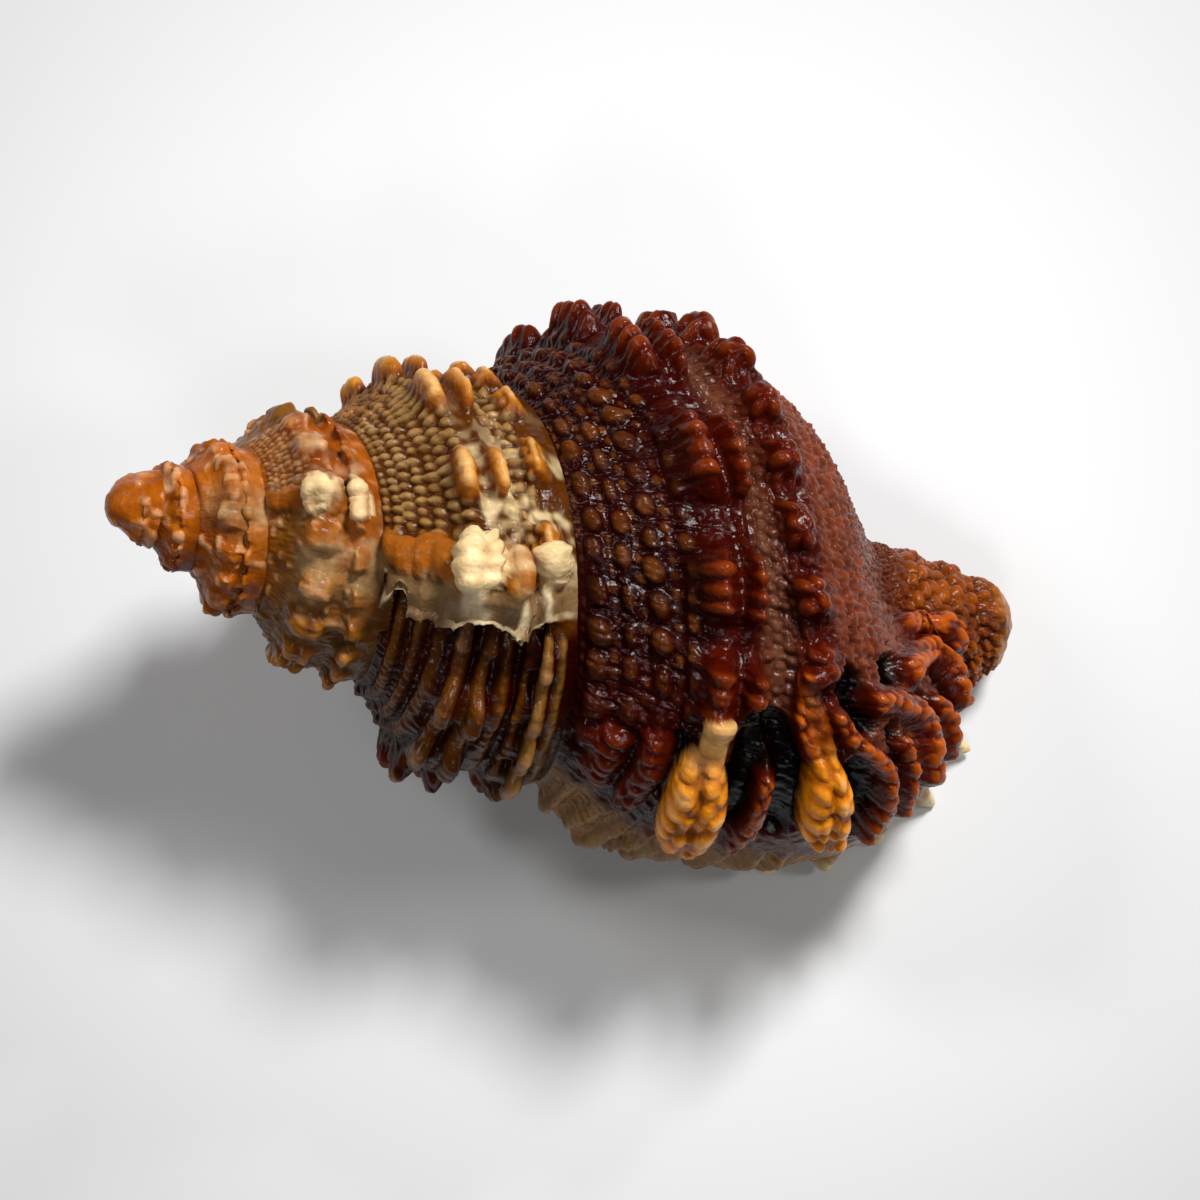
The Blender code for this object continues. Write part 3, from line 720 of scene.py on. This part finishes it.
def lip_colours(col, n, c, m, small):
    """The lip varix and the margin beyond it: gold knobs, orange ridges, hollows in their own dark brown
    deepened with painted shade, pale teeth.
    """
    beads = unit(0.55 + 0.5 * small)
    varix = hump(n - varix_line(VARIX_TURNS[0], c), 0.045)
    col = mix(col, DEEP_RED, 0.6 * varix)
    grain = m["grain"]
    crest = ease(m["orange"], 0.35, 0.95) * (0.35 + 0.65 * ease(grain, 0.1, 0.8))
    crest = crest * (0.45 + 0.55 * ease(c, 2.0, 3.4))
    ridge = mix(DEEP_RED, CHESTNUT, 0.3 + 0.9 * crest)
    ridge = mix(ridge, RUST, ease(crest, 0.35, 0.9))
    col = mix(col, ridge, unit(3.0 * m["orange"]))
    pale = mix(ORANGE_BROWN, GOLD, 0.25 + 0.85 * ease(grain, 0.05, 0.7) + 0.25 * small)
    pale = mix(pale, PALE_GOLD, 0.6 * ease(grain, 0.6, 1.0))
    pale = mix(pale, PALE_GOLD, 0.75 * hump(n + 0.165, 0.018) * fade(c, 2.6, 3.0))
    pale = mix(pale, CHESTNUT, 0.85 * fade(n, -0.172, -0.152) * ease(c, 2.8, 3.2))
    col = mix(col, pale, m["gold"])
    # painted shade in the hollows: their own near-black brown darkened further
    col = mix(col, BLACK_BROWN * 0.35, 1.1 * m["pit"])
    margin = m["margin"] * (1.0 - 0.9 * m["gold"])
    edge = mix(OLIVE_DARK, OLIVE_CREAM, 0.35 + 0.6 * beads)
    col = mix(col, edge, margin * fade(c, 9.0, 10.0))
    tip = tooth_wave(c) * ease(n, -0.035, -0.005) * ease(c, 3.9, 4.3)
    return mix(col, CREAM, 0.95 * ease(tip, 0.15, 0.8))


def old_colours(n, c, p, m, knob, patch, small):
    """The spire: worn grey-beige beads and orange knobs, two cream old lips, an orange tip."""
    top = unit(m["tops"])
    bead = mix(GREY_BEIGE, ORANGE_BROWN, 0.5 * ease(patch, 0.0, 0.5))
    col = mix(BROWN_GAP, bead, ease(top, 0.25, 0.95) * (0.85 + 0.3 * small))
    col = mix(col, ORANGE_BROWN, 0.9 * ease(knob, 0.15, 0.5))
    col = mix(col, KNOB_ORANGE, ease(knob, 0.35, 0.8) * (0.8 + 0.2 * patch))
    col = mix(col, PALE_GOLD, 0.55 * ease(knob * top, 0.60, 0.95))
    col = mix(col, SHADED, 0.75 * fade(c, 0.0, 0.22))
    warm = ease(-n, 1.75, 2.4) * (1.0 - 0.6 * grainy(n, c))
    cloud = lumps3(p, 2.6, 74)
    tip = mix(TIP_BROWN, TIP_ORANGE, 0.40 + 0.45 * cloud + 0.4 * small)
    tip = mix(tip, TIP_OLIVE, 0.8 * ease(lumps3(p, 3.4, 76), -0.05, 0.55) * fade(-n, 2.7, 3.3))
    tip = mix(tip, PALE_PINK, 0.70 * ease(top, 0.2, 0.7))
    tip = mix(tip, MILKY, 0.70 * ease(lumps3(p, 2.2, 75) + 0.5 * lumps3(p, 0.6, 79), 0.05, 0.75))
    tip = mix(tip, TIP_OLIVE, 0.85 * ease(n, -2.17, -2.09))
    flecks = unit(0.75 + 0.5 * lumps3(p, 0.9, 84))
    veiled = hump(n + 2.195, 0.045) * ease(c, 0.9, 1.5) + 0.8 * hump(n + 3.27, 0.045)
    tip = mix(tip, GREY_FILM, 0.85 * veiled * flecks)
    tip = mix(tip, PALE_PINK, 0.9 * ease(hump(n + 2.168, 0.022) * hump(c - 1.95, 0.30), 0.3, 0.7))
    col = mix(col, tip, warm * 0.95)
    col = mix(col, mix(ORANGE_BROWN, OCHRE_BROWN, 0.6 + 0.6 * small), m["ridge"])
    col = mix(col, mix(PALE_PINK, CREAM, 0.75 + 0.4 * small), m["cream"])
    near_varix = hump(n + 1.29, 0.07) + 0.8 * hump(n + 2.30, 0.08) + 0.5 * hump(n + 2.9, 0.3)
    film = ease(lumps3(p, 1.7, 77) + 0.6 * lumps3(p, 0.5, 78), 0.15, 0.85) * ease(c, 1.3, 1.9)
    col = mix(col, CREAM, 0.65 * film * near_varix)
    plate = m["plate"]
    streak = 1.1 * (hump(c - 1.85, 0.20) + hump(c - 2.75, 0.10) + hump(c - 3.35, 0.22))
    streak = streak + 0.45 * lumps3(p, 0.8, 80)
    streak = streak + 0.5 * ease(n, LEDGE_TURN + 0.0225, LEDGE_TURN + 0.026) * (1.0 + lumps3(p, 1.2, 82))
    veil = mix(MAUVE, PLATE_WHITE, ease(streak, 0.25, 1.2) * 0.85)
    col = mix(col, veil, plate)
    dark = ease(n, -1.200, -1.188) * ease(-n, 0.9, 1.0)
    cave = mix(BLACK_BROWN, DEEP_RED, 0.6)
    cave = mix(cave, OLIVE_DARK, 0.05 + 0.85 * ease(top, 0.3, 0.95) + 0.25 * patch)
    cave = mix(cave, OLIVE_CREAM, 0.6 * ease(c, 3.2, 3.5) * ease(top, 0.3, 0.9))
    cave = mix(cave, PALE_PINK, 0.75 * ease(knob, 0.7, 1.0) * ease(top, 0.6, 0.95))
    return mix(col, cave, dark)


def colours(n, c, p, m):
    """Colour of every point, from its place and the relief's masks m."""
    patch = rough3(p, 5.0, 71)
    small = rough3(p, 1.3, 72)
    knob = knob_share(n, c)
    young = young_colours(n, c, p, m, knob, patch, small)
    old = old_colours(n, c, p, m, knob, patch, small)
    col = mix(old, young, ease(n, -1.04, -0.94))
    col = lip_colours(col, n, c, m, small)
    return unit(col * (1.0 + 0.12 * small[..., None]))


# ---- meshes ----

def unit_normals(p):
    """Outward directions of a grid of points."""
    du = np.gradient(p, axis=1)
    dv = np.gradient(p, axis=0)
    out = np.cross(du, dv)
    return out / (np.linalg.norm(out, axis=-1, keepdims=True) + 1e-9)


def grid_faces(rows, cols):
    """Quads over a grid of points that are numbered row by row."""
    k = (np.arange(rows - 1)[:, None] * cols + np.arange(cols - 1)[None, :]).ravel()
    return np.stack([k, k + 1, k + cols + 1, k + cols], -1)


NO_TRIS = np.zeros((0, 3), int)
BOX_MARGIN = 0.003


def put(name, data):
    ob = bpy.data.objects.new(name, data)
    bpy.context.scene.collection.objects.link(ob)
    return ob


def write_mesh(name, points, quads, tris, colour, material):
    """Makes a piece of the shell from points in millimetres and a colour for each."""
    mesh = bpy.data.meshes.new(name)
    mesh.vertices.add(len(points))
    mesh.vertices.foreach_set("co", (points * MM).astype(np.float32).ravel())
    sizes = np.concatenate([np.full(len(quads), 4), np.full(len(tris), 3)]).astype(np.int32)
    loops = np.concatenate([quads.ravel(), tris.ravel()]).astype(np.int32)
    mesh.loops.add(len(loops))
    mesh.loops.foreach_set("vertex_index", loops)
    mesh.polygons.add(len(sizes))
    starts = np.concatenate([[0], np.cumsum(sizes)[:-1]]).astype(np.int32)
    mesh.polygons.foreach_set("loop_start", starts)
    mesh.polygons.foreach_set("loop_total", sizes)
    mesh.update(calc_edges=True)
    layer = mesh.color_attributes.new("shade", "FLOAT_COLOR", "POINT")
    flat = np.ones((len(points), 4), np.float32)
    flat[:, :3] = colour
    layer.data.foreach_set("color", flat.ravel())
    mesh.shade_smooth()
    mesh.materials.append(material)
    piece = put(name, mesh)
    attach(piece, "root")
    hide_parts("shell")


def within_box(p, low, high):
    """Keeps every point inside the solid's own box."""
    return np.clip(p, low + BOX_MARGIN, high - BOX_MARGIN)


def skin_piece(name, turns, places, box, material):
    """The outside over a range of turns and of places on the section."""
    n, c = np.meshgrid(turns, places)
    p = to_space(*place(n, c))
    rise, masks = fine_relief(n, c, p)
    q = within_box(p + unit_normals(p) * rise[..., None], *box)
    colour = colours(n, c, p, masks)
    quads = grid_faces(len(places), len(turns))
    write_mesh(name, q.reshape(-1, 3), quads, NO_TRIS, colour.reshape(-1, 3), material)


def settle(node, **values):
    """Sets a node's sockets, named with _ for each space."""
    for name, value in values.items():
        node.inputs[name.replace("_", " ")].default_value = value


def shell_material():
    """The mesh's own colours with a fine mottle, a fine bump, uneven gloss and a thin wet coat."""
    mat = bpy.data.materials.new("shell_brown_detail")
    mat.use_nodes = True
    nodes, links = mat.node_tree.nodes, mat.node_tree.links
    shader = nodes["Principled BSDF"]
    shade = nodes.new("ShaderNodeAttribute")
    shade.attribute_name = "shade"
    coords = nodes.new("ShaderNodeTexCoord")

    def noise(scale, detail, rough=0.55):
        node = nodes.new("ShaderNodeTexNoise")
        settle(node, Scale=scale, Detail=detail, Roughness=rough)
        links.new(coords.outputs["Object"], node.inputs["Vector"])
        return node.outputs["Fac"]

    def spanned(value, low, high):
        """Stretches a noise, which stays mostly within 0.3 to 0.7, from low to high."""
        node = nodes.new("ShaderNodeMapRange")
        settle(node, From_Min=0.3, From_Max=0.7, To_Min=low, To_Max=high)
        links.new(value, node.inputs["Value"])
        return node.outputs["Result"]

    tone = nodes.new("ShaderNodeMix")
    tone.data_type = "RGBA"
    tone.blend_type = "MULTIPLY"
    settle(tone, Factor=1.0)
    grey = nodes.new("ShaderNodeCombineColor")
    mottle = noise(1100.0, 4.0)
    for channel, low, high in (("Red", 0.80, 1.16), ("Green", 0.72, 1.20), ("Blue", 0.62, 1.26)):
        links.new(spanned(mottle, low, high), grey.inputs[channel])
    links.new(shade.outputs["Color"], tone.inputs["A"])
    links.new(grey.outputs["Color"], tone.inputs["B"])
    links.new(tone.outputs["Result"], shader.inputs["Base Color"])
    links.new(spanned(noise(700.0, 5.0), 0.12, 0.34), shader.inputs["Roughness"])
    bump = nodes.new("ShaderNodeBump")
    settle(bump, Strength=0.38, Distance=0.00018)
    grain = nodes.new("ShaderNodeMath")
    grain.operation = "ADD"
    links.new(noise(2600.0, 3.0, 0.6), grain.inputs[0])
    links.new(spanned(noise(900.0, 2.0), 0.0, 1.2), grain.inputs[1])
    links.new(grain.outputs["Value"], bump.inputs["Height"])
    links.new(bump.outputs["Normal"], shader.inputs["Normal"])
    settle(shader, Specular_IOR_Level=0.12, Coat_Weight=0.10, Coat_Roughness=0.08, Coat_IOR=1.35)
    return mat


# ---- mouth and apex ----

RIM_TO = 12.0                   # the mouth's rim ends here on both lips
INNER_FROM = 4.0                # on the inner lip it starts here


def hollow_ring(depth, u_out, u_in):
    """Section of the hollow: outer line from the suture to the canal, then the inner line back."""
    n = -depth

    def walls(u):
        u = 0.09 + (0.74 - CANAL_RETREAT * depth / MOUTH_DEPTH) * u
        outer = np.stack(place(np.full_like(u, n), RIM_TO * u, plain=True), -1)
        inner_c = INNER_FROM + (RIM_TO - INNER_FROM) * u
        inner = np.stack(place(np.full_like(u, n - 1.0), inner_c, plain=True), -1)
        inner[:, 2] += 2.0 * math.pi
        return outer, inner, 0.5 * (outer + inner)

    def keep(u, outer, inner, wall):
        gap = np.hypot(outer[:, 0] - inner[:, 0], outer[:, 1] - inner[:, 1])
        round_end = np.sqrt(unit(1.0 - (2.0 * u - 1.0) ** 6))
        return (np.clip(1.0 - 2.0 * wall / gap, 0.05, 1.0) * round_end)[:, None]

    outer, inner, middle = walls(u_out)
    wall = LIP_WALL - 0.7 * min(1.0, depth / 0.1)
    far = middle + (outer - middle) * keep(u_out, outer, inner, wall)
    outer, inner, middle = walls(u_in)
    near = middle + (inner - middle) * keep(u_in, outer, inner, INNER_WALL + 2.0 * depth)
    ring = np.concatenate([far, near[::-1][1:]])
    centre = ring.mean(axis=0)
    shrink = 1.0 - 0.55 * depth / MOUTH_DEPTH
    return centre + (ring - centre) * np.array([shrink, shrink, 1.0])


RIM_STEPS = 8                   # rows of the rim before the hollow starts
OUTER_POINTS, INNER_POINTS, HOLLOW_RINGS = 240, 160, 60
LIP_FOLDS = 19.0                # small folds inside the outer lip


def mouth_piece(box, material):
    """Rim between the lips and the hollow behind it, closed at its deep end."""
    out_c = np.linspace(0.0, RIM_TO, OUTER_POINTS)
    in_c = np.linspace(INNER_FROM, RIM_TO, INNER_POINTS)
    rim_out = to_space(*place(np.zeros_like(out_c), out_c))
    rim_in = to_space(*place(np.full_like(in_c, -1.0), in_c))
    rim = np.concatenate([rim_out, rim_in[::-1][1:]])
    depths = np.concatenate([[0.0], MOUTH_DEPTH * np.linspace(0.03, 1.0, HOLLOW_RINGS) ** 1.5])
    rings = []
    for depth in depths:
        ring = hollow_ring(depth, out_c / RIM_TO, (in_c - INNER_FROM) / (RIM_TO - INNER_FROM))
        rings.append(to_space(ring[:, 0], ring[:, 1], ring[:, 2]))
    steps = np.linspace(0.0, 1.0, RIM_STEPS + 1)[1:-1]
    between = [rim * (1 - t) + rings[0] * t for t in steps]
    grid = np.stack([rim] + between + rings)
    count = grid.shape[1]
    depth_at = np.concatenate([np.zeros(RIM_STEPS + 1), depths[1:]])
    small = rough3(grid, 2.0, 91)
    k = np.arange(count) / (count - 1.0)
    fold = np.where(np.arange(count) < len(out_c), np.sin(k * 2 * math.pi * LIP_FOLDS), 0.0)
    inward = ease(np.arange(len(grid)).astype(float), 4.0, 12.0) * fade(depth_at, 0.05, 0.2)
    out = unit_normals(grid)
    grid = grid - out * (0.35 * fold[None, :] * inward[:, None] + 0.08 * small)[..., None]
    grid = within_box(grid, *box)
    tone = ease(depth_at, 0.0, 0.25)[:, None] * np.ones(count)
    col = mix(CREAM, ORANGE * 0.6, 0.25 + 0.5 * tone + 0.15 * small)
    points = np.concatenate([grid.reshape(-1, 3), grid[-1, :-1].mean(axis=0)[None]])
    quads = grid_faces(*grid.shape[:2])[:, ::-1]
    last = (len(grid) - 1) * count + np.arange(count - 1)
    tris = np.stack([last, last + 1, np.full(count - 1, len(points) - 1)], -1)[:, ::-1]
    colour = np.concatenate([col.reshape(-1, 3), col[-1, :1]])
    write_mesh("shell_mouth", points, quads, tris, colour, material)


# blunt tip: distance from its end along the axis and radius there, in mm
TIP_PROFILE = ((0.0, 0.0), (0.06, 0.45), (0.28, 0.88), (0.70, 1.36), (1.20, 1.70), (2.20, 2.12),
               (3.00, 2.42), (3.30, 1.60))


def apex_piece(box, material):
    """Rounded, bumpy tip over the start of the first whorl, where the sutures no longer show."""
    down, out = np.array(TIP_PROFILE).T
    t = np.linspace(0.0, len(down) - 1.0, 3 * APEX_LINES)
    z = APEX_TOP + np.interp(t, np.arange(len(down)), down)
    r = np.interp(t, np.arange(len(down)), out) + 1e-4
    angle = np.linspace(0.0, 2.0 * math.pi, SPIRE_COLUMNS + 1)
    grid = to_space(z[:, None] + 0.0 * angle, r[:, None] + 0.0 * angle, 0.0 * z[:, None] + angle)
    lumpy = 0.16 * lumps3(grid, 1.1, 61) + 0.22 * unit(lumps3(grid, 0.6, 62))
    lumpy = lumpy * ease(t, 0.5, 2.0)[:, None]
    grid = within_box(grid + unit_normals(grid) * lumpy[..., None], *box)
    spots = unit(lumps3(grid, 0.6, 62))
    col = mix(TIP_BROWN, TIP_ORANGE, 0.5 + 0.4 * lumps3(grid, 1.4, 63))
    col = mix(col, PALE_PINK, 0.7 * spots)
    quads = grid_faces(*grid.shape[:2])
    write_mesh("shell_apex", grid.reshape(-1, 3), quads, NO_TRIS, col.reshape(-1, 3), material)


# ---- light, floor, camera, in metres ----

FLOOR_HALF = 1.2
# the floor's colour paints a pool of light round the shell, with painted shade further out
FLOOR_LIT_MIDDLE = (0.66, 0.66, 0.66, 1.0)
FLOOR_SHADED_AWAY = (0.46, 0.46, 0.47, 1.0)
FLOOR_BLEND = (0.02, 0.075)     # how far from the middle the one turns into the other
WORLD_STRENGTH = 0.06
# name, place, size, watts
LIGHTS = (
    ("key", (0.12, 0.22, 0.36), 0.10, 2.2),
    ("sparkle", (0.14, 0.22, 0.22), 0.025, 0.16),
    ("left_fill", (-0.30, 0.12, 0.36), 0.10, 0.55),
    ("near_fill", (0.05, -0.30, 0.42), 0.12, 0.40),
    ("far_fill", (0.34, 0.04, 0.30), 0.08, 0.35),
)
LIT_PLACE = (0.0, 0.0, 0.012)
VIEW_LEAN = math.radians(20.0)  # the axis leans this far away from the camera
VIEW_ROLL = math.radians(8.57)  # the picture's own tilt
VIEW_TURN = math.radians(88.0)  # from the lip's edge back round to the side that is looked at
VIEW_AXIS = 31.0                # millimetres along the axis to the place that is looked at
VIEW_RIGHT, VIEW_DOWN = 0.00156, 0.00173        # from there
VIEW_DISTANCE = 0.300
LENS, SENSOR = 143.1, 36.0      # millimetres


def stage():
    """Pale floor with a painted pool of light: lighter in the middle, greyer with painted shade away from it.
    """
    floor_mat = bpy.data.materials.new("floor_pale")
    floor_mat.use_nodes = True
    nodes, links = floor_mat.node_tree.nodes, floor_mat.node_tree.links
    shader = nodes["Principled BSDF"]
    coords = nodes.new("ShaderNodeTexCoord")
    length = nodes.new("ShaderNodeVectorMath")
    length.operation = "LENGTH"
    links.new(coords.outputs["Object"], length.inputs[0])
    ramp = nodes.new("ShaderNodeValToRGB")
    ramp.color_ramp.interpolation = "EASE"
    for end, distance, colour in zip(ramp.color_ramp.elements, FLOOR_BLEND, (FLOOR_LIT_MIDDLE, FLOOR_SHADED_AWAY)):
        end.position = distance
        end.color = colour
    links.new(length.outputs["Value"], ramp.inputs["Fac"])
    links.new(ramp.outputs["Color"], shader.inputs["Base Color"])
    settle(shader, Roughness=0.9, Specular_IOR_Level=0.1)
    mesh = bpy.data.meshes.new("floor")
    corners = [(x * FLOOR_HALF, y * FLOOR_HALF, 0) for x, y in ((-1, -1), (1, -1), (1, 1), (-1, 1))]
    mesh.from_pydata(corners, [], [(0, 1, 2, 3)])
    mesh.materials.append(floor_mat)
    floor = put("floor", mesh)


def lights():
    """Soft studio light and a faint even world."""
    world = bpy.data.worlds.new("studio")
    bpy.context.scene.world = world
    world.use_nodes = True
    settle(world.node_tree.nodes["Background"], Color=(1.0, 1.0, 1.0, 1.0), Strength=WORLD_STRENGTH)
    for name, at, size, power in LIGHTS:
        lamp = bpy.data.lights.new(name, "AREA")
        lamp.shape = "DISK"
        lamp.size = size
        lamp.energy = power
        ob = put(name, lamp)
        ob.location = at
        ob.rotation_euler = (Vector(LIT_PLACE) - Vector(at)).to_track_quat("-Z", "Y").to_euler()


def camera():
    """Looks square at the lip-side back of the shell, a little from the apex."""
    facing = LIP_PHASE - VIEW_TURN

    def turned(z, angle, size):
        v = lay_down(np.array([z]), np.array([-size * math.sin(angle)]), np.array([size * math.cos(angle)]))
        return Vector(v[0])
    axis = turned(1.0, 0.0, 0.0)
    towards = turned(0.0, facing, 1.0)
    upward = turned(0.0, facing - math.pi / 2.0, 1.0)
    back = towards * math.cos(VIEW_LEAN) - axis * math.sin(VIEW_LEAN)
    across = axis * math.cos(VIEW_LEAN) + towards * math.sin(VIEW_LEAN)
    right = across * math.cos(VIEW_ROLL) + upward * math.sin(VIEW_ROLL)
    up = upward * math.cos(VIEW_ROLL) - across * math.sin(VIEW_ROLL)
    aim = (turned(VIEW_AXIS, 0.0, 0.0) + Vector(SOLID_AT)) * MM + right * VIEW_RIGHT - up * VIEW_DOWN
    data = bpy.data.cameras.new("camera")
    data.lens = LENS
    data.sensor_width = SENSOR
    ob = put("camera", data)
    m = Matrix((right, up, back)).transposed().to_4x4()
    m.translation = aim + back * VIEW_DISTANCE
    ob.matrix_world = m
    bpy.context.scene.camera = ob


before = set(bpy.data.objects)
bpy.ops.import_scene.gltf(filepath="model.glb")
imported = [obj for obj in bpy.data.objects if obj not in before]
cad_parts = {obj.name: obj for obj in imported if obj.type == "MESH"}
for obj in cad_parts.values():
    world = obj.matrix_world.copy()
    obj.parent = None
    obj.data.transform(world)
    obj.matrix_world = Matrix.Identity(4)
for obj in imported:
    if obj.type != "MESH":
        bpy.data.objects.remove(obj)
solid_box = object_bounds()
box = [np.array(v) / MM for v in solid_box]
brown = shell_material()
body_turns = np.linspace(-1.0, 0.0, BODY_COLUMNS + 1)
whorl_turns = np.linspace(-2.0, -1.0, WHORL_COLUMNS + 1)
spire_turns = np.linspace(FIRST_TURN, -2.0, int(SPIRE_COLUMNS * (-2.0 - FIRST_TURN)) + 1)
skin_piece("shell_back", body_turns, np.linspace(0.0, SPLIT, RAMP_LINES), box, brown)
skin_piece("shell_base", body_turns, np.linspace(SPLIT, SECTION_END, BASE_LINES), box, brown)
skin_piece("shell_whorl", whorl_turns, np.linspace(0.0, TUCKED, WHORL_LINES), box, brown)
skin_piece("shell_spire", spire_turns, np.linspace(0.0, TUCKED, SPIRE_LINES), box, brown)
mouth_piece(box, brown)
apex_piece(box, brown)
stage()
lights()
camera()
bpy.context.scene.view_settings.view_transform = "Standard"
